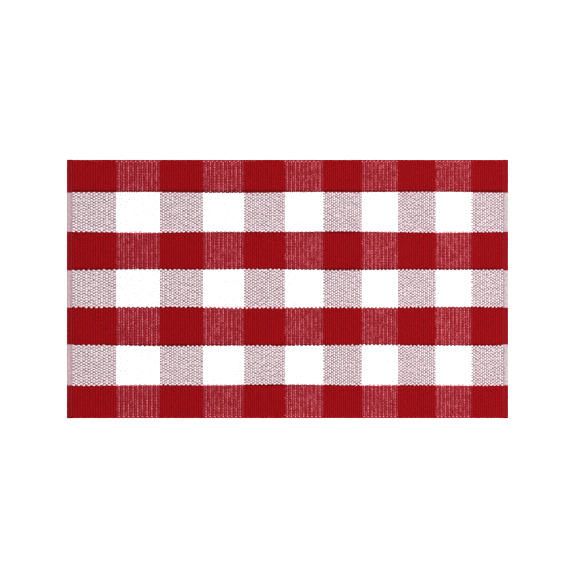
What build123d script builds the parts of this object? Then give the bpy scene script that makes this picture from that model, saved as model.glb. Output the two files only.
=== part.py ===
"""Ribbed gingham table cloth: heavy weft cords held in bands of fine warp, with stitched end hems.

Millimetres. +X runs along the cloth's length, across the cords. +Y runs along the cords. +Z is up.
The origin is at the middle of the underside.
"""

from build123d import *
import os

os.makedirs("parts", exist_ok=True)

# Colour order. Both lists alternate red and white and start and end with red.
stripe_widths = [53.5, 48.5, 47, 44.5, 44.5, 42.5, 42, 40, 40.5, 39.5, 41]  # weft stripes, left to right
band_widths = [36, 43.5, 41, 41.5, 41.5, 43.5, 36.5]  # warp bands, from +Y to -Y
colours = ["red", "white"]

# Weave
cord_count = 19  # cords in each stripe between the two end stripes
end_cord_count = 17  # cords in the first and the last stripe, which also hold a hem
cord_diameter = 1.5
cord_clearance = 0.05  # between a cord and the warp that wraps it
warp_cover = 0.3  # warp above and below a cord, and around the turns at the selvedge
rib_depth = 0.35  # crest to valley, on both faces
crest_flat = 0.9  # width of the pressed flat along each rib of the underside

# Hems: the flat-woven ends, turned under twice and sewn with a lockstitch
hem_width = 6
hem_gap = 0.06  # between the three layers
fold_gap = 0.2  # between the inner fold and the last cord's rib
thread_diameter = 0.3
thread_clearance = 0.02
stitch_setback = 0.9  # from the end of the ribs to the row of stitches on the hem
stitch_pitch = 3
stitch_gap = 0.5  # between two stitches of a row
stitch_margin = 1.5  # bare end of the row at each selvedge

# Sizes that follow from those above
cloth_length = sum(stripe_widths)
cloth_width = sum(band_widths)
cord_radius = cord_diameter / 2
tunnel_radius = cord_radius + cord_clearance
body_thickness = 2 * (tunnel_radius + warp_cover)
cord_height = body_thickness / 2
valley_top = body_thickness - rib_depth
edge_x = cloth_length / 2
ribbed_x = edge_x - hem_width
hem_bottom = thread_diameter + 2 * thread_clearance
hem_layer = (valley_top - hem_bottom - 2 * hem_gap) / 3
thread_radius = thread_diameter / 2


def stripe_cords(index):
    """The pitch of a stripe's cords and their x positions."""
    left = -edge_x + sum(stripe_widths[:index])
    width = stripe_widths[index]
    count = cord_count
    if index in (0, len(stripe_widths) - 1):
        width -= hem_width
        count = end_cord_count
    if index == 0:
        left += hem_width
    pitch = width / count
    return pitch, [left + pitch * (cord + 0.5) for cord in range(count)]


def rib_top(x, pitch):
    """The rounded upper outline of the rib over one cord."""
    ThreePointArc((x - pitch / 2, valley_top), (x, body_thickness), (x + pitch / 2, valley_top))


def rib_underside(x, pitch):
    """The lower outline of one rib, with a flat along its crest, where the cloth rests."""
    flat_left = (x - crest_flat / 2, 0)
    flat_right = (x + crest_flat / 2, 0)
    TangentArc(flat_left, (x - pitch / 2, rib_depth), tangent=(-1, 0))
    Line(flat_left, flat_right)
    TangentArc(flat_right, (x + pitch / 2, rib_depth), tangent=(1, 0))


def stripe_outline(index, rib_outline):
    """One stripe's ribs, drawn by rib_top or rib_underside."""
    pitch, centres = stripe_cords(index)
    with BuildLine(mode=Mode.PRIVATE) as ribs:
        for x in centres:
            rib_outline(x, pitch)
    return ribs.line


def hem_outline(side):
    """The outline of one hem, turned under twice: side is 1 at the right end and -1 at the left."""
    outer_radius = (valley_top - hem_bottom) / 2
    outer_x = edge_x - outer_radius
    turn_radius = hem_layer + hem_gap / 2
    turn_x = ribbed_x + fold_gap + turn_radius
    raw_top = hem_bottom + 2 * turn_radius
    raw_bottom = hem_bottom + hem_layer + hem_gap
    edge_height = hem_bottom + outer_radius

    def at(x, z):
        return (side * x, z)

    Line(at(ribbed_x, valley_top), at(outer_x, valley_top))
    ThreePointArc(at(outer_x, valley_top), at(edge_x, edge_height), at(outer_x, hem_bottom))
    Line(at(outer_x, hem_bottom), at(turn_x, hem_bottom))
    ThreePointArc(
        at(turn_x, hem_bottom), at(turn_x - turn_radius, hem_bottom + turn_radius), at(turn_x, raw_top)
    )
    Polyline(at(turn_x, raw_top), at(outer_x, raw_top), at(outer_x, raw_bottom), at(turn_x, raw_bottom))
    ThreePointArc(
        at(turn_x, raw_bottom),
        at(turn_x - hem_gap / 2, raw_bottom - hem_gap / 2),
        at(turn_x, raw_bottom - hem_gap),
    )
    Line(at(turn_x, hem_bottom + hem_layer), at(outer_x, hem_bottom + hem_layer))
    ThreePointArc(
        at(outer_x, hem_bottom + hem_layer),
        at(edge_x - hem_layer, edge_height),
        at(outer_x, valley_top - hem_layer),
    )
    Polyline(
        at(outer_x, valley_top - hem_layer),
        at(ribbed_x, valley_top - hem_layer),
        at(ribbed_x, rib_depth),
    )


def cord_route(index, end_length):
    """The path of one stripe's cord: straight runs joined by turns inside the selvedges."""
    pitch, centres = stripe_cords(index)
    turn_y = cloth_width / 2 - warp_cover - tunnel_radius - pitch / 2
    start_y = -turn_y - end_length
    for cord, x in enumerate(centres):
        side = 1 if cord % 2 == 0 else -1
        if cord == len(centres) - 1:
            Line((x, start_y), (x, side * (turn_y + end_length)))
            continue
        Line((x, start_y), (x, side * turn_y))
        turn_tip = (x + pitch / 2, side * (turn_y + pitch / 2))
        ThreePointArc((x, side * turn_y), turn_tip, (x + pitch, side * turn_y))
        start_y = side * turn_y


def serpentine(index, radius, end_length):
    """A round bar along one stripe's route."""
    with BuildPart() as bar:
        with BuildLine(Plane.XY.offset(cord_height)) as route:
            cord_route(index, end_length)
        with BuildSketch(Plane(origin=route.wire() @ 0, z_dir=route.wire() % 0)):
            Circle(radius)
        sweep(path=route.wire())
    return bar.part


# The section of the whole cloth across its cords, first without and then with their tunnels
with BuildSketch() as cloth_section:
    with BuildLine():
        for stripe in range(len(stripe_widths)):
            add(stripe_outline(stripe, rib_top))
            add(stripe_outline(stripe, rib_underside))
        hem_outline(1)
        hem_outline(-1)
    make_face()

with BuildSketch() as tunnel_section:
    add(cloth_section.sketch)
    for stripe in range(len(stripe_widths)):
        with Locations(*[(x, cord_height) for x in stripe_cords(stripe)[1]]):
            Circle(tunnel_radius, mode=Mode.SUBTRACT)

# Warp bands. The cords pass through the inner bands and turn back inside the two outer ones.
tunnels = [serpentine(stripe, tunnel_radius, cord_clearance) for stripe in range(len(stripe_widths))]
band_top = cloth_width / 2
for number, width in enumerate(band_widths):
    outer = number in (0, len(band_widths) - 1)
    with BuildPart() as warp_band:
        with BuildSketch(Plane.XZ.offset(-band_top)):
            add(cloth_section.sketch if outer else tunnel_section.sketch)
        extrude(amount=width)
        if outer:
            add(tunnels, mode=Mode.SUBTRACT)
    name = f"warp_band_{number + 1}_{colours[number % 2]}"
    warp_band.part.label = name
    export_step(warp_band.part, f"parts/{name}.step")
    band_top -= width

# Weft stripes: one long cord each
for stripe in range(len(stripe_widths)):
    weft_cord = serpentine(stripe, cord_radius, 0)
    name = f"weft_stripe_{stripe + 1:02d}_{colours[stripe % 2]}"
    weft_cord.label = name
    export_step(weft_cord, f"parts/{name}.step")

# Lockstitch rows: the needle thread lies on top of each hem and the bobbin thread beneath it
stitch_count = int((cloth_width - 2 * stitch_margin + stitch_gap) // stitch_pitch)
thread_heights = {
    "needle_thread": valley_top + thread_clearance + thread_radius,
    "bobbin_thread": hem_bottom - thread_clearance - thread_radius,
}
for thread, height in thread_heights.items():
    for side, side_name in ((-1, "left"), (1, "right")):
        with BuildPart() as row:
            with Locations((side * (ribbed_x + stitch_setback), 0, height)):
                with GridLocations(stitch_pitch, stitch_pitch, 1, stitch_count):
                    Cylinder(thread_radius, stitch_pitch - stitch_gap, rotation=(90, 0, 0))
        row.part.label = f"{thread}_{side_name}"
        export_step(row.part, f"parts/{thread}_{side_name}.step")
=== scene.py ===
"""Ribbed gingham table cloth: yarns, hems, stitches and studio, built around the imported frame."""

import math

import bmesh
import bpy
import numpy as np
from mathutils import Matrix, Vector


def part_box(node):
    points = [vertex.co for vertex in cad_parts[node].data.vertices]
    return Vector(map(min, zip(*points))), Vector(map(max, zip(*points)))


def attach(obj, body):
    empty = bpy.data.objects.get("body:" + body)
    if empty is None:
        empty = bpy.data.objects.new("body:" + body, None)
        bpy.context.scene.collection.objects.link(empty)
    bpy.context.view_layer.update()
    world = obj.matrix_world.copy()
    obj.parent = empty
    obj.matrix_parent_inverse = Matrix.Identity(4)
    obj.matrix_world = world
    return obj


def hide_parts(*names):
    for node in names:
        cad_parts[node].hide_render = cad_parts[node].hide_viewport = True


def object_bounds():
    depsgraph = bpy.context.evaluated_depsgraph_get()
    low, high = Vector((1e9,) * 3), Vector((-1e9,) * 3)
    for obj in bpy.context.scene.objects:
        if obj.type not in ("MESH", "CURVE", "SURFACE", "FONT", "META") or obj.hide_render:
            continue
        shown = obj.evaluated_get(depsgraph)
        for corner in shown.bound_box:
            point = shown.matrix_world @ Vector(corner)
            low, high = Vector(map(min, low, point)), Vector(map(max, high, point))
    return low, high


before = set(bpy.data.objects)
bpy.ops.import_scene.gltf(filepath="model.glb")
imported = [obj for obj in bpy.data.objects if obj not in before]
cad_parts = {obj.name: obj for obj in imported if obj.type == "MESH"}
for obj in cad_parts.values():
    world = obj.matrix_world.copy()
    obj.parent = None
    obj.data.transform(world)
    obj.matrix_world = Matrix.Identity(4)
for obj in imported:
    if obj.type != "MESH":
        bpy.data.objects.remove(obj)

bl_info = {
    "name": "Ribbed Gingham Table Cloth",
    "version": (1, 0, 0),
    "blender": (4, 5, 0),
    "location": "View3D > Sidebar > Table Cloth",
    "description": "Weaves a ribbed red and white table cloth around its CAD frame",
    "category": "Object",
}

CAD_LOW, CAD_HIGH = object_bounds()
BANDS = sorted(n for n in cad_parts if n.startswith("warp_band"))
STRIPES = sorted(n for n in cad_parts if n.startswith("weft_stripe"))
THREADS = sorted(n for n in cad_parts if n.endswith(("thread_left", "thread_right")))
BOXES = {n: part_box(n) for n in (*BANDS, *STRIPES, *THREADS)}
MM = 0.001


def edges_between(nodes, axis):
    """The places along an axis where neighbouring nodes meet, with both ends of the cloth."""
    boxes = sorted((BOXES[node][0][axis], BOXES[node][1][axis]) for node in nodes)
    inner = [(before[1] + after[0]) / 2 for before, after in zip(boxes, boxes[1:])]
    return [CAD_LOW[axis], *inner, CAD_HIGH[axis]]


# ---------------------------------------------------------------- settings


class WeaveSettings(bpy.types.PropertyGroup):
    """The yarns of the cloth."""

    cord_runs: bpy.props.IntProperty(
        name="Cord Runs", description="Runs of cord in each inner weft stripe", default=19, min=2)
    end_cord_runs: bpy.props.IntProperty(
        name="End Cord Runs", description="Runs of cord in the first and last weft stripe", default=17, min=2)
    red_pitch: bpy.props.FloatProperty(
        name="Red Warp Pitch", description="Distance between neighbouring red warp ends",
        default=0.86 * MM, min=0.3 * MM, precision=5, unit="LENGTH")
    white_pitch: bpy.props.FloatProperty(
        name="White Warp Pitch", description="Distance between neighbouring white warp ends",
        default=1.5 * MM, min=0.3 * MM, precision=5, unit="LENGTH")
    yarn_thickness: bpy.props.FloatProperty(
        name="Yarn Thickness", description="Thickness of a flattened warp end",
        default=0.36 * MM, min=0.05 * MM, precision=5, unit="LENGTH")
    red_cover: bpy.props.FloatProperty(
        name="Red Cover", description="Share of a cord that red warp hides where it crosses over",
        default=0.95, min=0.2, max=1.2, subtype="FACTOR")
    white_cover: bpy.props.FloatProperty(
        name="White Cover", description="Share of a cord that white warp hides where it crosses over",
        default=0.76, min=0.2, max=1.2, subtype="FACTOR")
    shaft_contrast: bpy.props.FloatProperty(
        name="Shaft Contrast", description="How much more the back shaft's ends cover than the front shaft's",
        default=0.12, min=0, max=0.3, subtype="FACTOR")
    unevenness: bpy.props.FloatProperty(
        name="Unevenness", description="How much the width of a yarn varies along it",
        default=0.13, min=0, max=0.5, subtype="FACTOR")
    streaks: bpy.props.FloatProperty(
        name="Streaks", description="How much the widths of neighbouring yarns vary together along a cord",
        default=0.17, min=0, max=0.5, subtype="FACTOR")
    streak_length: bpy.props.FloatProperty(
        name="Streak Length", description="Distance along a cord over which yarn widths vary together",
        default=3.2 * MM, min=1 * MM, precision=5, unit="LENGTH")
    band_wave: bpy.props.FloatProperty(
        name="Band Wave", description="How far the edge between two colour bands strays from straight",
        default=0.8 * MM, min=0, precision=5, unit="LENGTH")
    seed: bpy.props.IntProperty(name="Seed", description="Seed of the yarns' unevenness", default=7, min=0)


class DyeSettings(bpy.types.PropertyGroup):
    """The colours of the yarns; the white warp over red cords and the white cord among red warp also carry
    painted shade and painted red bounce light.
    """

    red_warp: bpy.props.FloatVectorProperty(
        name="Red Warp", description="Colour of the red warp over red cords", subtype="COLOR",
        default=(0.266, 0.0030, 0.0054), min=0, max=1)
    red_over_white: bpy.props.FloatVectorProperty(
        name="Red Over White", subtype="COLOR",
        description="Colour of the red warp over white cords, whose fibres show through",
        default=(0.262, 0.0110, 0.019), min=0, max=1)
    white_warp: bpy.props.FloatVectorProperty(
        name="White Warp", description="Colour of the white warp over white cords", subtype="COLOR",
        default=(0.96, 0.96, 0.96), min=0, max=1)
    # Partly real, partly painted: red cord fibres show through the thin white warp, and the colour is also
    # darkened and tinted as painted shade and painted red bounce light.
    white_over_red_and_painted_shade: bpy.props.FloatVectorProperty(
        name="White Over Red", subtype="COLOR",
        description="Colour of the white warp over red cords, whose fibres show through",
        default=(0.60, 0.505, 0.533), min=0, max=1)
    red_cord: bpy.props.FloatVectorProperty(
        name="Red Cord", description="Colour of the red weft cord under red warp", subtype="COLOR",
        default=(0.19, 0.005, 0.010), min=0, max=1)
    red_cord_in_white: bpy.props.FloatVectorProperty(
        name="Red Cord In White", description="Colour of the red weft cord among white warp fibres",
        subtype="COLOR", default=(0.225, 0.128, 0.150), min=0, max=1)
    white_cord: bpy.props.FloatVectorProperty(
        name="White Cord", description="Colour of the white weft cord under white warp", subtype="COLOR",
        default=(0.96, 0.96, 0.96), min=0, max=1)
    # Partly real, partly painted: red fuzz tints the white cord among red warp, and its pink and its dimming
    # are also painted red bounce light and painted shade from the red ends around it.
    white_cord_fuzz_and_painted_bounce: bpy.props.FloatVectorProperty(
        name="White Cord In Red", description="Colour of the white weft cord among red warp fibres",
        subtype="COLOR", default=(0.80, 0.22, 0.265), min=0, max=1)
    red_border: bpy.props.FloatVectorProperty(
        name="Red Border", description="Tint of the outermost red warp ends beside a white band",
        subtype="COLOR", default=(0.55, 0.5, 0.5), min=0, max=2)
    white_border: bpy.props.FloatVectorProperty(
        name="White Border", description="Tint of the outermost white warp ends beside a red band",
        subtype="COLOR", default=(1.25, 1.08, 1.1), min=0, max=2)
    left_hem_blend: bpy.props.FloatVectorProperty(
        name="Left Hem Blend", subtype="COLOR",
        description="Colour of the pale left hem, where white warp crosses fine red weft",
        default=(0.36, 0.25, 0.277), min=0, max=1)
    right_hem_blend: bpy.props.FloatVectorProperty(
        name="Right Hem Blend", description="Colour of the pale right hem, where the white warp shows more",
        subtype="COLOR", default=(0.33, 0.275, 0.28), min=0, max=1)
    red_hem: bpy.props.FloatVectorProperty(
        name="Red Hem", description="Colour of the red hem, which lies flat to the light", subtype="COLOR",
        default=(0.16, 0.0022, 0.0045), min=0, max=1)
    thread: bpy.props.FloatVectorProperty(
        name="Sewing Thread", description="Colour of the hem's stitches", subtype="COLOR",
        default=(0.25, 0.03, 0.05), min=0, max=1)


class StudioSettings(bpy.types.PropertyGroup):
    """Floor, lights and camera."""

    view_width: bpy.props.FloatProperty(
        name="View Width", description="Width of table that the camera sees",
        default=0.63, min=0.1, unit="LENGTH")
    lens: bpy.props.FloatProperty(name="Lens", description="Focal length", default=100, min=20, unit="CAMERA")
    key_power: bpy.props.FloatProperty(
        name="Key Light", description="Power of the large overhead light", default=66, min=0, unit="POWER")
    side_power: bpy.props.FloatProperty(
        name="Side Light", description="Power of the low light that shows the ribs",
        default=14, min=0, unit="POWER")
    table_glow: bpy.props.FloatProperty(
        name="Table Glow", description="Light of the table itself, which hides the cloth's shadow",
        default=0.6, min=0)
    sky: bpy.props.FloatProperty(
        name="Sky", description="Strength of the even light from all round", default=0.92, min=0)


# ---------------------------------------------------------------- materials


def fabric_material(name, colour, roughness=0.9, sheen=0.05):
    """A matt cotton shader and its node tree, with nothing on its colour or bump yet."""
    material = bpy.data.materials.new(name)
    material.use_nodes = True
    shader = material.node_tree.nodes["Principled BSDF"]
    shader.inputs["Base Color"].default_value = (*colour, 1)
    shader.inputs["Roughness"].default_value = roughness
    shader.inputs["Specular IOR Level"].default_value = 0.03
    shader.inputs["Sheen Weight"].default_value = sheen
    shader.inputs["Sheen Roughness"].default_value = 0.6
    shader.inputs["Sheen Tint"].default_value = (*colour, 1)
    return material, material.node_tree, shader


def object_pattern(tree, scale, turn=0.0):
    """Object coordinates through a Mapping node with its own scale and turn about Z."""
    place = tree.nodes.new("ShaderNodeTexCoord")
    mapping = tree.nodes.new("ShaderNodeMapping")
    mapping.inputs["Scale"].default_value = scale
    mapping.inputs["Rotation"].default_value = (0, 0, turn)
    tree.links.new(place.outputs["Object"], mapping.inputs["Vector"])
    return mapping.outputs["Vector"]


def remapped(tree, value, old, new):
    """A value stretched from one range onto another."""
    stretch = tree.nodes.new("ShaderNodeMapRange")
    for socket, bound in zip(("From Min", "From Max", "To Min", "To Max"), (*old, *new)):
        stretch.inputs[socket].default_value = bound
    tree.links.new(value, stretch.inputs["Value"])
    return stretch.outputs["Result"]


def checked(tree, axis, edges, colours):
    """Two colours that take turns along an axis of the object, changing at the edges."""
    place = tree.nodes.new("ShaderNodeTexCoord")
    split = tree.nodes.new("ShaderNodeSeparateXYZ")
    tree.links.new(place.outputs["Object"], split.inputs["Vector"])
    ramp = tree.nodes.new("ShaderNodeValToRGB")
    ramp.color_ramp.interpolation = "CONSTANT"
    tree.links.new(remapped(tree, split.outputs[axis], (edges[0], edges[-1]), (0, 1)), ramp.inputs["Fac"])
    stops = ramp.color_ramp.elements
    stops.remove(stops[1])
    for number, edge in enumerate(edges[:-1]):
        share = (edge - edges[0]) / (edges[-1] - edges[0])
        stop = stops.new(share) if number else stops[0]
        stop.position = share
        stop.color = (*colours[number % 2], 1)
    return ramp.outputs["Color"]


def vector_math(tree, operation, *values):
    """The output of a vector node that works on the values."""
    node = tree.nodes.new("ShaderNodeVectorMath")
    node.operation = operation
    for value, socket in zip(values, node.inputs):
        tree.links.new(value, socket)
    return node.outputs["Vector"]


def border_tint(tree, width, colour):
    """White, with a tint within a width of every edge between two bands."""
    low, *inner, high = edges_between(BANDS, 1)
    edges = [low, *(place for edge in inner for place in (edge - width, edge + width)), high]
    return checked(tree, "Y", edges, ((1, 1, 1), colour))


def yarn_material(name, colours, contrast, along, checks=None, border=None):
    """Spun yarn: fibres run along it, its ply twists round it, and its colour takes turns over the checks."""
    material, tree, shader = fabric_material(name, colours[0])
    fibre = tree.nodes.new("ShaderNodeTexNoise")
    fibre.inputs["Scale"].default_value = 1.0
    fibre.inputs["Detail"].default_value = 3.0
    tree.links.new(object_pattern(tree, along), fibre.inputs["Vector"])
    shade = tree.nodes.new("ShaderNodeVectorMath")
    shade.operation = "SCALE"
    shade.inputs["Vector"].default_value = colours[0]
    if checks:
        tree.links.new(checked(tree, *checks, colours), shade.inputs["Vector"])
    depth = remapped(tree, fibre.outputs["Fac"], (0.25, 0.75), (1 - contrast, 1 + contrast))
    tree.links.new(depth, shade.inputs["Scale"])
    result = shade.outputs["Vector"]
    if border:
        result = vector_math(tree, "MULTIPLY", result, border_tint(tree, *border))
    limit = vector_math(tree, "MINIMUM", result)
    limit.node.inputs[1].default_value = (0.97, 0.97, 0.97)
    tree.links.new(limit, shader.inputs["Base Color"])
    ply = tree.nodes.new("ShaderNodeTexWave")
    ply.inputs["Scale"].default_value = 900.0
    ply.inputs["Distortion"].default_value = 1.5
    tree.links.new(object_pattern(tree, (1, 1, 1), math.radians(35)), ply.inputs["Vector"])
    bump = tree.nodes.new("ShaderNodeBump")
    bump.inputs["Strength"].default_value = 0.35
    bump.inputs["Distance"].default_value = 0.08 * MM
    tree.links.new(ply.outputs["Fac"], bump.inputs["Height"])
    tree.links.new(bump.outputs["Normal"], shader.inputs["Normal"])
    return material


WARP_FIBRES = (250, 2600, 2600)
WARP_GRAIN = (450, 800, 800)
CORD_FIBRES = (2600, 250, 2600)
HEM_GRAIN = (420, 560, 560)
BAND_SPREAD = 0.8 * MM  # how far a red band's tint on the cords, partly red fuzz and partly painted red bounce light, reaches past its edge
BORDER_WIDTHS = {"red": 1.7 * MM, "white": 2 * MM}  # of the tint on a band's outermost ends


def dyed(name):
    """The material of that name, made on first use."""
    if name in bpy.data.materials:
        return bpy.data.materials[name]
    dye = bpy.context.scene.cloth_dye
    by_stripe = ("X", edges_between(STRIPES, 0))
    by_band = ("Y", [e + BAND_SPREAD * (-1) ** (n + 1) for n, e in enumerate(edges_between(BANDS, 1))])
    recipes = {
        "red warp cotton": (
            (dye.red_warp, dye.red_over_white), 0.08, WARP_FIBRES, by_stripe,
            (BORDER_WIDTHS["red"], dye.red_border)),
        # over red cords the white warp takes its darker copy: red fibres showing through, plus painted shade
        # and painted red bounce light
        "white warp cotton": (
            (dye.white_over_red_and_painted_shade, dye.white_warp), 0.07, WARP_GRAIN, by_stripe,
            (BORDER_WIDTHS["white"], dye.white_border)),
        "red weft cord": ((dye.red_cord, dye.red_cord_in_white), 0.15, CORD_FIBRES, by_band),
        # among red warp the white cord takes its tinted copy: partly red fuzz, partly painted red bounce light
        # and painted shade
        "white weft cord": ((dye.white_cord_fuzz_and_painted_bounce, dye.white_cord), 0.04, CORD_FIBRES, by_band),
        "red hem weave": ((dye.red_hem,), 0.12, WARP_FIBRES),
        "pale left_hem weave": ((dye.left_hem_blend,), 0.3, HEM_GRAIN),
        "pale right_hem weave": ((dye.right_hem_blend,), 0.45, HEM_GRAIN),
        "red sewing thread": ((dye.thread,), 0.15, CORD_FIBRES),
    }
    return yarn_material(name, *recipes[name])


# ---------------------------------------------------------------- the weave's plan


class Plan:
    """Where the cords and hems of the CAD frame lie, in metres."""

    def __init__(self, weave):
        self.cords = []
        self.pitches = []
        for number, node in enumerate(STRIPES):
            low, high = BOXES[node]
            runs = weave.end_cord_runs if number in (0, len(STRIPES) - 1) else weave.cord_runs
            self.radius = (high.z - low.z) / 2
            self.height = (high.z + low.z) / 2
            first, last = low.x + self.radius, high.x - self.radius
            pitch = (last - first) / (runs - 1)
            for run in range(runs):
                self.cords.append(first + run * pitch)
                self.pitches.append(pitch)
        self.cords = np.array(self.cords)
        self.pitches = np.array(self.pitches)
        self.left = self.cords[0] - self.pitches[0] / 2
        self.right = self.cords[-1] + self.pitches[-1] / 2


RINGS_PER_CORD = {"red": 3, "white": 4}


def ring_places(plan, per_cord):
    """The x, the cord number and the place within the cord's rib, from -0.5 to 0.5, of a warp end's rings."""
    steps = np.arange(per_cord) / per_cord - 0.5
    x = (plan.cords[:, None] + plan.pitches[:, None] * steps).ravel()
    cord = np.repeat(np.arange(len(plan.cords)), per_cord)
    place = np.tile(steps, len(plan.cords))
    return np.append(x, plan.right), np.append(cord, len(plan.cords) - 1), np.append(place, 0.5)


def smooth_noise(rng, rows, columns, reach):
    """Rows of noise from -1 to 1 that changes over about reach columns."""
    coarse = rng.uniform(-1, 1, (rows, int(columns / reach) + 3))
    at = np.arange(columns) / reach
    index = at.astype(int)
    t = at - index
    t = t * t * (3 - 2 * t)
    return coarse[:, index] * (1 - t) + coarse[:, index + 1] * t


# ---------------------------------------------------------------- meshes


def finished(name, bm, materials):
    """Turns a bmesh into an object at the origin with its materials, shaded smooth."""
    bmesh.ops.recalc_face_normals(bm, faces=bm.faces)
    mesh = bpy.data.meshes.new(name)
    bm.to_mesh(mesh)
    bm.free()
    for material in materials:
        mesh.materials.append(material)
    mesh.shade_smooth()
    piece = bpy.data.objects.new(name, mesh)
    bpy.context.collection.objects.link(piece)
    return piece


TEMPLATE_SPACING = 4.0  # between neighbouring yarns of an unshaped bundle, whose yarns have a radius of 1
YARN_SIDES = 4


def yarn_bundle(name, rings, yarns, material):
    """Straight closed yarns side by side along X, each with the same number of rings."""
    bm = bmesh.new()
    bmesh.ops.create_cone(
        bm, cap_ends=True, segments=YARN_SIDES, radius1=1, radius2=1, depth=1,
        matrix=Matrix.Rotation(math.radians(90), 4, "Y"))
    lengthwise = [e for e in bm.edges if abs(e.verts[0].co.x - e.verts[1].co.x) > 0.5]
    bmesh.ops.subdivide_edges(bm, edges=lengthwise, cuts=rings - 2)
    sizes = len(bm.verts), len(bm.edges), len(bm.faces)
    made = 1
    while made < yarns:
        more = min(made, yarns - made)
        parts = [list(kind)[:more * size] for kind, size in zip((bm.verts, bm.edges, bm.faces), sizes)]
        copy = bmesh.ops.duplicate(bm, geom=sum(parts, []))
        verts = [v for v in copy["geom"] if isinstance(v, bmesh.types.BMVert)]
        bmesh.ops.translate(bm, verts=verts, vec=(0, made * TEMPLATE_SPACING, 0))
        made += more
    return finished(name, bm, [material])


def read_points(piece):
    """The points of a piece's mesh, one row each."""
    points = np.empty(len(piece.data.vertices) * 3, np.float32)
    piece.data.vertices.foreach_get("co", points)
    return points.reshape(-1, 3).astype(float)


def write_points(piece, points):
    """Puts the points back into the mesh."""
    piece.data.vertices.foreach_set("co", points.astype(np.float32).ravel())
    piece.data.update()


def shape_yarns(piece, rings, x, y, z, width, thickness):
    """Bends each yarn of a bundle onto its own path: x by ring, and the rest by yarn and ring."""
    points = read_points(piece)
    ring = np.rint((points[:, 0] + 0.5) * (rings - 1)).astype(int)
    yarn = np.rint(points[:, 1] / TEMPLATE_SPACING).astype(int)
    across = points[:, 1] - yarn * TEMPLATE_SPACING
    up = points[:, 2]
    shaped = np.column_stack([
        x[ring],
        y[yarn, ring] + across * width[yarn, ring] / 2,
        z[yarn, ring] + up * thickness[yarn, ring] / 2,
    ])
    write_points(piece, shaped)


DRIFT_WAVES = ((0.6, 1.3, 1.7), (0.4, 3.1, 3.91))  # share, turns along the cloth, and phase for each band


def band_drift(x, number, plan, wave):
    """How far the edge above band number strays in Y, smoothly along the cloth, with none at the selvedges."""
    if number in (0, len(BANDS)):
        return np.zeros_like(x)
    t = (x - plan.left) / (plan.right - plan.left)
    return wave * sum(
        share * np.sin(2 * math.pi * t * turns + phase * number) for share, turns, phase in DRIFT_WAVES)


def red_or_white(node):
    """The colour word that ends a node's name."""
    return node.rsplit("_", 1)[1]


SELVEDGE_DEPTH = 2.1 * MM
VALLEY_LIFT = {"red": 0.45, "white": 0.2}  # height of an end between cords, as a share of that on the crest
RIB_PLACES = (0, 0.17, 0.25, 0.5)  # in pitches from a rib's crest
RIB_CLIMB = (1.0, 0.96, 0.81, 0.0)  # a warp end's height at each of them, as a share of that on the crest
CROSSING_SHARE = 0.62  # of two pitches, the width of an end where it crosses between cords
CROSSING_THICKNESS = 1.5  # times its usual thickness, at the same place
END_LIFT = 0.5 * MM  # of an end's tip above the middle of the cloth, beneath the hem's top layer
SLUBS = ((1.0, 3.2), (0.7, 1.0))  # strength of each kind of unevenness, and its reach in cords
STRAY_REACH = {"red": 1.5, "white": 1.1}  # cords over which a yarn's sideways stray changes
LOOSENESS = {"red": 0.4, "white": 0.9}  # of a yarn's unevenness that is left where it crosses between cords
JITTER = {"red": 0.08, "white": 0.38}  # sideways stray of a yarn, in pitches


def weave_band(number, node, plan, weave, rng):
    """The warp ends of one band as two sheets: the ends of the front shaft and those of the back shaft."""
    low, high = BOXES[node]
    colour = red_or_white(node)
    top, bottom = high.y, low.y
    if number == 0:
        top -= SELVEDGE_DEPTH
    if number == len(BANDS) - 1:
        bottom += SELVEDGE_DEPTH
    ends = round((top - bottom) / (weave.red_pitch if colour == "red" else weave.white_pitch))
    pitch = (top - bottom) / ends
    per_cord = RINGS_PER_CORD[colour]
    x, cord, place = ring_places(plan, per_cord)
    rings = len(x)
    climb = np.interp(np.abs(place), RIB_PLACES, RIB_CLIMB)
    between = np.abs(place) == 0.5
    drift_top = band_drift(x, number, plan, weave.band_wave)
    drift_bottom = band_drift(x, number + 1, plan, weave.band_wave)
    amplitude = plan.height - weave.yarn_thickness / 2
    for shaft, shaft_name in enumerate(("front", "back")):
        cover = weave.red_cover if colour == "red" else weave.white_cover
        cover *= 1 + weave.shaft_contrast * (2 * shaft - 1)
        mine = np.arange(shaft, ends, 2)
        share = (mine[:, None] + 0.5) / ends
        y = top - share * (top - bottom) + drift_top * (1 - share) + drift_bottom * share
        y = y + JITTER[colour] * pitch * smooth_noise(rng, len(mine), rings, STRAY_REACH[colour] * per_cord)
        over = np.where((cord + shaft) % 2 == 0, 1.0, -1.0)
        rise = np.where(between, VALLEY_LIFT[colour], over * climb)
        z = plan.height + amplitude * np.tile(rise, (len(mine), 1))
        z[:, [0, -1]] = plan.height + END_LIFT
        slub = sum(
            strength * smooth_noise(rng, len(mine), rings, cords * per_cord) for strength, cords in SLUBS)
        reach = weave.streak_length / (2 * pitch)
        streak = smooth_noise(rng, len(plan.cords), len(mine), reach).T[:, cord]
        crossing = CROSSING_SHARE * min(1, cover + 0.1)
        width = 2 * pitch * np.interp(np.abs(place), (0, 0.25, 0.5), (cover, 0.9 * cover, crossing))
        looseness = np.where(between, LOOSENESS[colour], 1.0)
        width = width * (1 + looseness * (weave.unevenness * slub + weave.streaks * streak))
        thickness = np.full_like(width, weave.yarn_thickness)
        thickness[:, between] *= CROSSING_THICKNESS
        piece = yarn_bundle(f"{node}_{shaft_name}_ends", rings, len(mine), dyed(f"{colour} warp cotton"))
        shape_yarns(piece, rings, x, y, z, width, thickness)
        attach(piece, "root")
        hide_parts(node)


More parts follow.
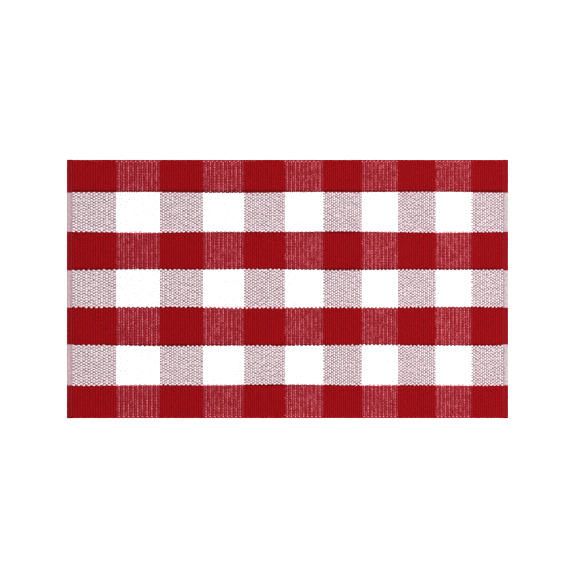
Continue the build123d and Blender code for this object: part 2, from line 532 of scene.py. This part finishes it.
class CLOTH_OT_warp_bands(bpy.types.Operator):
    """Weaves the seven red and white bands of warp over and under the cords"""

    bl_idname = "cloth.warp_bands"
    bl_label = "Warp Bands"

    def execute(self, context):
        weave = context.scene.cloth_weave
        plan = Plan(weave)
        rng = np.random.default_rng(weave.seed)
        for number, node in enumerate(BANDS):
            weave_band(number, node, plan, weave, rng)
        return {"FINISHED"}


SELVEDGE_ENDS = (  # inset from the edge, and height as a share of the way from the middle to the surface
    (0.6 * MM, 0.72),
    (1.35 * MM, 0.9),
    (0.22 * MM, 0.0),
    (0.6 * MM, -0.72),
    (1.35 * MM, -0.9),
)
EDGE_END = 2  # the end at the very edge, which stands upright
EDGE_END_SHAPE = (0.45, 2.2)  # its width and thickness, times the other ends'
SELVEDGE_YARN = (1.0 * MM, 0.5 * MM)  # width and thickness of a selvedge end
SELVEDGE_RINGS = 3
SELVEDGE_WAVE = 0.06 * MM  # half of how far the edge draws in between two cords
SELVEDGE_DIP = 0.07  # half of how far its ends sink there, as a share of their height
SELVEDGE_UNEVENNESS = 0.12
SELVEDGE_REACH = 3  # cords over which a selvedge end's width changes


class CLOTH_OT_selvedges(bpy.types.Operator):
    """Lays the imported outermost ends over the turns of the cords, along both long sides"""

    bl_idname = "cloth.selvedges"
    bl_label = "Selvedges"

    def execute(self, context):
        weave = context.scene.cloth_weave
        plan = Plan(weave)
        rng = np.random.default_rng(weave.seed + 1)
        x, _, place = ring_places(plan, SELVEDGE_RINGS)
        count, rings = len(SELVEDGE_ENDS), len(x)
        wide, thick = SELVEDGE_YARN
        inset, rise = (np.array(column)[:, None] for column in zip(*SELVEDGE_ENDS))
        wave = np.cos(2 * math.pi * place)[None, :]
        for side, node in ((1, BANDS[0]), (-1, BANDS[-1])):
            edge = BOXES[node][1].y if side > 0 else BOXES[node][0].y
            y = np.broadcast_to(edge - side * inset, (count, rings)) - side * SELVEDGE_WAVE * (1 - wave)
            z = plan.height + (plan.height - thick / 2) * rise * (1 - SELVEDGE_DIP * (1 - wave))
            noise = smooth_noise(rng, count, rings, SELVEDGE_REACH * SELVEDGE_RINGS)
            width = np.full((count, rings), wide) * (1 + SELVEDGE_UNEVENNESS * noise)
            width[EDGE_END] *= EDGE_END_SHAPE[0]
            thickness = np.full((count, rings), thick)
            thickness[EDGE_END] *= EDGE_END_SHAPE[1]
            name = "back_selvedge" if side > 0 else "front_selvedge"
            piece = yarn_bundle(name, rings, count, dyed("red warp cotton"))
            shape_yarns(piece, rings, x, y, z, width, thickness)
            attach(piece, "root")
            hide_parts(node)
        return {"FINISHED"}


class CLOTH_OT_weft_cords(bpy.types.Operator):
    """Gives the cords of the frame their spun cotton"""

    bl_idname = "cloth.weft_cords"
    bl_label = "Weft Cords"

    def execute(self, context):
        for node in STRIPES:
            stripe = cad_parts[node]
            for slot in stripe.material_slots:
                slot.link = "OBJECT"
                slot.material = dyed(f"{red_or_white(node)} weft cord")
        return {"FINISHED"}


# ---------------------------------------------------------------- hems


HEM_LAYER = 0.40 * MM  # thickness of each of the hem's three layers
HEM_GAP = 0.06 * MM
HEM_OVERLAP = 0.4 * MM  # how far the top layer reaches over the last rib
FOLD_CLEARANCE = 0.2 * MM  # between the inner fold and the last rib
WALL_SHARE = 0.8  # of the layer's thickness that is solid
TOP_POINTS = 9  # along the hem's top layer
HEM_CELLS = 140  # along the cloth's width
THREAD_CLEARANCE = 0.02 * MM
STITCH_PITCH = 3 * MM
STITCH_RUN = 2.5 * MM
STITCH_SPREAD = 1.25  # how much wider than its thread a stitch lies
STITCH_STRETCH = 1.12
GROOVE_SETBACK = 0.4 * MM  # from the row of stitches to the middle of the groove that it pulls in
GROOVE_WIDTH = 0.6 * MM
GROOVE_DEPTH = 0.10 * MM
PUCKER_DEPTH = 0.03 * MM


def hem_path(start, edge, layer, gap, bottom, top, inner):
    """The hem's middle line in X and Z: top layer, edge fold, bottom layer, inner fold, raw layer."""
    outer = (top - bottom - layer) / 2
    turn = (layer + gap) / 2
    line = [(x, top - layer / 2) for x in np.linspace(start, edge - outer - layer / 2, TOP_POINTS)]
    centre = (edge - outer - layer / 2, (top + bottom) / 2)
    line += [(centre[0] + outer * math.sin(a), centre[1] + outer * math.cos(a))
             for a in np.linspace(0.15 * math.pi, math.pi, 7)]
    line += [(x, bottom + layer / 2) for x in np.linspace(centre[0] - 0.5 * MM, inner + turn, 6)]
    line += [(inner + turn - turn * math.sin(a), bottom + layer / 2 + turn - turn * math.cos(a))
             for a in np.linspace(0.2 * math.pi, math.pi, 4)]
    line += [(x, bottom + layer * 1.5 + gap) for x in np.linspace(inner + turn + 0.4 * MM, centre[0], 6)]
    return np.array(line)


class CLOTH_OT_hems(bpy.types.Operator):
    """Folds the flat-woven hem under twice at each end"""

    bl_idname = "cloth.hems"
    bl_label = "Hems"

    def execute(self, context):
        plan = Plan(context.scene.cloth_weave)
        needle = BOXES["needle_thread_left"]
        top = needle[0].z - THREAD_CLEARANCE
        bottom = BOXES["bobbin_thread_left"][1].z + THREAD_CLEARANCE
        groove_x = -(needle[0].x + needle[1].x) / 2 - GROOVE_SETBACK
        edges = [BOXES[n][1].y for n in BANDS] + [BOXES[BANDS[-1]][0].y]
        for side, name in ((-1, "left_hem"), (1, "right_hem")):
            start = -plan.left if side < 0 else plan.right
            edge = -CAD_LOW.x if side < 0 else CAD_HIGH.x
            line = hem_path(
                start - HEM_OVERLAP, edge, HEM_LAYER, HEM_GAP, bottom, top, start + FOLD_CLEARANCE)
            bm = bmesh.new()
            bmesh.ops.create_grid(bm, x_segments=len(line) - 1, y_segments=HEM_CELLS, size=0.5)
            for vert in bm.verts:
                step = round((vert.co.x + 0.5) * (len(line) - 1))
                along = vert.co.y + 0.5
                x, z = line[step]
                y = edges[-1] + along * (edges[0] - edges[-1])
                groove = math.exp(-(((x - groove_x) / GROOVE_WIDTH) ** 2)) if step < TOP_POINTS else 0
                pucker = PUCKER_DEPTH * math.sin(2 * math.pi * y / STITCH_PITCH) * groove
                vert.co = (side * x, y, z - GROOVE_DEPTH * groove + pucker)
            for face in bm.faces:
                y = face.calc_center_median().y
                band = sum(1 for e in edges[1:-1] if y < e)
                face.material_index = band % 2
            bmesh.ops.recalc_face_normals(bm, faces=bm.faces)
            piece = finished(name, bm, [dyed("red hem weave"), dyed(f"pale {name} weave")])
            wall = piece.modifiers.new("Cloth Thickness", "SOLIDIFY")
            wall.thickness = WALL_SHARE * HEM_LAYER
            wall.offset = 0
            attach(piece, "root")
            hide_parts(*BANDS)
        return {"FINISHED"}


class CLOTH_OT_stitches(bpy.types.Operator):
    """Sews each hem with a row of lockstitch, above and beneath"""

    bl_idname = "cloth.stitches"
    bl_label = "Stitches"

    def execute(self, context):
        for node in THREADS:
            low, high = BOXES[node]
            x, z = (low.x + high.x) / 2, (low.z + high.z) / 2
            radius = (high.z - low.z) / 2
            count = round((high.y - low.y - STITCH_RUN) / STITCH_PITCH) + 1
            bm = bmesh.new()
            for stitch in range(count):
                y = low.y + STITCH_RUN / 2 + stitch * STITCH_PITCH
                size = (radius * STITCH_SPREAD, STITCH_RUN / 2 * STITCH_STRETCH, radius, 1)
                shape = Matrix.Translation((x, y, z)) @ Matrix.Diagonal(size)
                bmesh.ops.create_uvsphere(
                    bm, u_segments=6, v_segments=6, radius=1,
                    matrix=shape @ Matrix.Rotation(math.radians(90), 4, "X"))
            piece = finished(f"{node}_stitches", bm, [dyed("red sewing thread")])
            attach(piece, "root")
            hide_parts(node)
        return {"FINISHED"}


# ---------------------------------------------------------------- studio


TABLE_REACH = 3  # from the middle of the table top to its edges, in metres
TABLE_DROP = 0.15 * MM  # of the table top below the cloth
CAMERA_SHIFT = (0.5 * MM, 1.1 * MM)  # of the camera from the middle of the cloth
SENSOR_WIDTH = 36


def area_light(name, place, aim, size, power):
    """A large soft light at a place, facing aim."""
    data = bpy.data.lights.new(name, "AREA")
    data.shape = "RECTANGLE"
    data.size, data.size_y = size
    data.energy = power
    light = bpy.data.objects.new(name, data)
    light.location = place
    light.rotation_euler = (Vector(aim) - Vector(place)).to_track_quat("-Z", "Y").to_euler()
    bpy.context.collection.objects.link(light)


class CLOTH_OT_studio(bpy.types.Operator):
    """Sets the white table top, the soft lights and the camera straight above"""

    bl_idname = "cloth.studio"
    bl_label = "Studio"

    def execute(self, context):
        studio = context.scene.cloth_studio
        bm = bmesh.new()
        bmesh.ops.create_grid(bm, x_segments=1, y_segments=1, size=TABLE_REACH)
        bmesh.ops.translate(bm, verts=bm.verts, vec=(0, 0, -TABLE_DROP))
        top, _, shader = fabric_material("white table top", (0.9, 0.9, 0.9), 0.6, 0)
        shader.inputs["Emission Color"].default_value = (1, 1, 1, 1)
        shader.inputs["Emission Strength"].default_value = studio.table_glow
        finished("table", bm, [top])
        area_light("overhead softbox", (1.5, 0, 1.5), (0, 0, 0), (2.0, 2.4), studio.key_power)
        area_light("low side softbox", (1.6, 0.25, 0.8), (0, 0, 0), (1.2, 1.2), studio.side_power)
        world = bpy.data.worlds.new("even sky")
        world.use_nodes = True
        world.node_tree.nodes["Background"].inputs["Color"].default_value = (1, 1, 1, 1)
        world.node_tree.nodes["Background"].inputs["Strength"].default_value = studio.sky
        context.scene.world = world
        centre = (CAD_LOW + CAD_HIGH) / 2
        lens = bpy.data.cameras.new("camera")
        lens.lens = studio.lens
        lens.sensor_width = SENSOR_WIDTH
        distance = studio.view_width * studio.lens / lens.sensor_width
        camera = bpy.data.objects.new("camera", lens)
        camera.location = (centre.x + CAMERA_SHIFT[0], centre.y + CAMERA_SHIFT[1], CAD_HIGH.z + distance)
        context.collection.objects.link(camera)
        context.scene.camera = camera
        context.scene.view_settings.view_transform = "Standard"
        return {"FINISHED"}


# ---------------------------------------------------------------- panel and registration


class CLOTH_PT_panel(bpy.types.Panel):
    """The table cloth's settings and steps"""

    bl_idname = "CLOTH_PT_panel"
    bl_label = "Table Cloth"
    bl_space_type = "VIEW_3D"
    bl_region_type = "UI"
    bl_category = "Table Cloth"

    def draw(self, context):
        for group in (context.scene.cloth_weave, context.scene.cloth_dye, context.scene.cloth_studio):
            box = self.layout.box()
            for name in group.bl_rna.properties.keys():
                if name not in ("rna_type", "name"):
                    box.prop(group, name)
        for step in STEPS:
            self.layout.operator(step.bl_idname)


SETTINGS = {"cloth_weave": WeaveSettings, "cloth_dye": DyeSettings, "cloth_studio": StudioSettings}
STEPS = (
    CLOTH_OT_warp_bands,
    CLOTH_OT_selvedges,
    CLOTH_OT_weft_cords,
    CLOTH_OT_hems,
    CLOTH_OT_stitches,
    CLOTH_OT_studio,
)


def register():
    for name, group in SETTINGS.items():
        bpy.utils.register_class(group)
        setattr(bpy.types.Scene, name, bpy.props.PointerProperty(type=group))
    for cls in (*STEPS, CLOTH_PT_panel):
        bpy.utils.register_class(cls)


def unregister():
    for cls in (CLOTH_PT_panel, *reversed(STEPS)):
        bpy.utils.unregister_class(cls)
    for name, group in SETTINGS.items():
        delattr(bpy.types.Scene, name)
        bpy.utils.unregister_class(group)


def main():
    register()
    bpy.ops.cloth.studio()
    bpy.ops.cloth.warp_bands()
    bpy.ops.cloth.selvedges()
    bpy.ops.cloth.weft_cords()
    bpy.ops.cloth.hems()
    bpy.ops.cloth.stitches()


if __name__ == "__main__":
    main()
